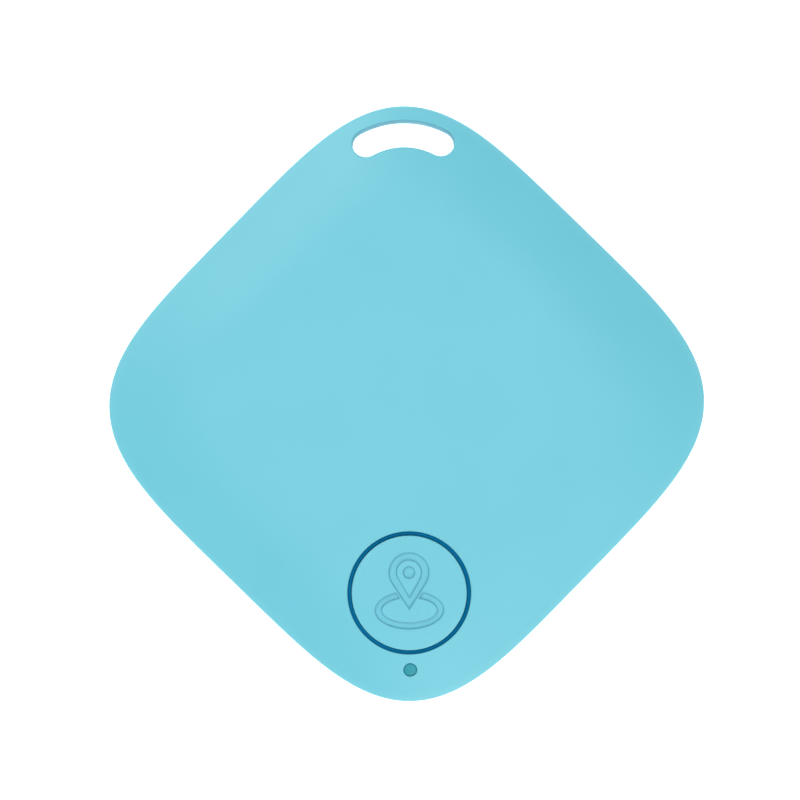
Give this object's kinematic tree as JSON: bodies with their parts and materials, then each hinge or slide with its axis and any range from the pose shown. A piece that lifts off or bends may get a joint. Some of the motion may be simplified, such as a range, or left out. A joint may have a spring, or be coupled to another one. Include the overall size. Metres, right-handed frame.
{
  "type": "wireless tracker tag",
  "caption": "Flat tag with a rounded square outline and domed faces, a keyring slot in one corner and a round push button near the opposite corner.",
  "frame": {"origin": "centre of the flat back face, under the middle of the case", "axes": "+Z out of the front face, where the button is; +Y towards the corner with the keyring slot; +X completes a right-handed frame"},
  "size_m": [0.0478, 0.0478, 0.008],
  "materials": {
    "case_plastic": "satin",
    "seal_rubber": "matte",
    "pipe_plastic": "gloss",
    "foam": "matte",
    "board_laminate": "satin",
    "screw_steel": "satin",
    "holder_plastic": "matte",
    "contact_bronze": "satin",
    "lamp_resin": "gloss",
    "switch_plastic": "satin",
    "switch_steel": "satin",
    "plunger_plastic": "satin",
    "chip_resin": "matte",
    "crystal_lid": "satin",
    "crystal_gold": "satin",
    "antenna_ceramic": "satin",
    "coil_wire": "gloss",
    "capacitor_ceramic": "satin",
    "resistor_film": "gloss",
    "tape_film": "matte",
    "buzzer_brass": "satin",
    "buzzer_piezo": "satin",
    "wire_red": "satin",
    "wire_black": "satin",
    "cell_steel": "satin",
    "gasket_plastic": "matte",
    "cathode_powder": "matte",
    "separator_cloth": "matte",
    "anode_metal": "satin"
  },
  "bodies": {
    "rear": {"rear_cover": "case_plastic", "cell_pad": "foam"},
    "front": {"front_shell": "case_plastic", "button_seal": "seal_rubber", "light_pipe": "pipe_plastic", "circuit_board": "board_laminate", "board_screws": "screw_steel", "cell_holder": "holder_plastic", "positive_contact": "contact_bronze", "negative_contact": "contact_bronze", "indicator_led": "lamp_resin", "switch_housing": "switch_plastic", "switch_cover": "switch_steel", "switch_terminals": "switch_steel", "switch_dome": "switch_steel", "radio_chip": "chip_resin", "main_crystal": "crystal_lid", "watch_crystal": "crystal_gold", "chip_antenna": "antenna_ceramic", "buzzer_coil": "coil_wire", "driver_transistor": "chip_resin", "chip_capacitors": "capacitor_ceramic", "chip_resistors": "resistor_film", "buzzer_tape": "tape_film", "buzzer_plate": "buzzer_brass", "buzzer_ceramic": "buzzer_piezo", "buzzer_wire_red": "wire_red", "buzzer_wire_black": "wire_black"},
    "button": {"button_cap": "case_plastic"},
    "plunger": {"switch_plunger": "plunger_plastic"},
    "cell": {"cell_can": "cell_steel", "cell_gasket": "gasket_plastic", "cell_cap": "cell_steel", "cell_cathode": "cathode_powder", "cell_separator": "separator_cloth", "cell_anode": "anode_metal"}
  },
  "joints": [
    {"name": "case_opening", "type": "slide", "parent": "rear", "child": "front", "axis": [0, 0, 1], "range_m": [0, 0.018]},
    {"name": "cell_release", "type": "slide", "parent": "front", "child": "cell", "axis": [0, 0, -1], "range_m": [0, 0.0072]},
    {"name": "button_press", "type": "slide", "parent": "front", "child": "button", "axis": [0, 0, -1], "range_m": [0, 0.0003], "stiffness_N_per_m": 5000},
    {"name": "plunger_travel", "type": "slide", "parent": "front", "child": "plunger", "axis": [0, 0, -1], "range_m": [0, 0.00025], "deforming": ["switch_dome"]}
  ],
  "couplings": [
    {"joint": "cell_release", "follows": "case_opening", "ratio": 0.4},
    {"joint": "plunger_travel", "follows": "button_press", "ratio": 0.8333}
  ]
}
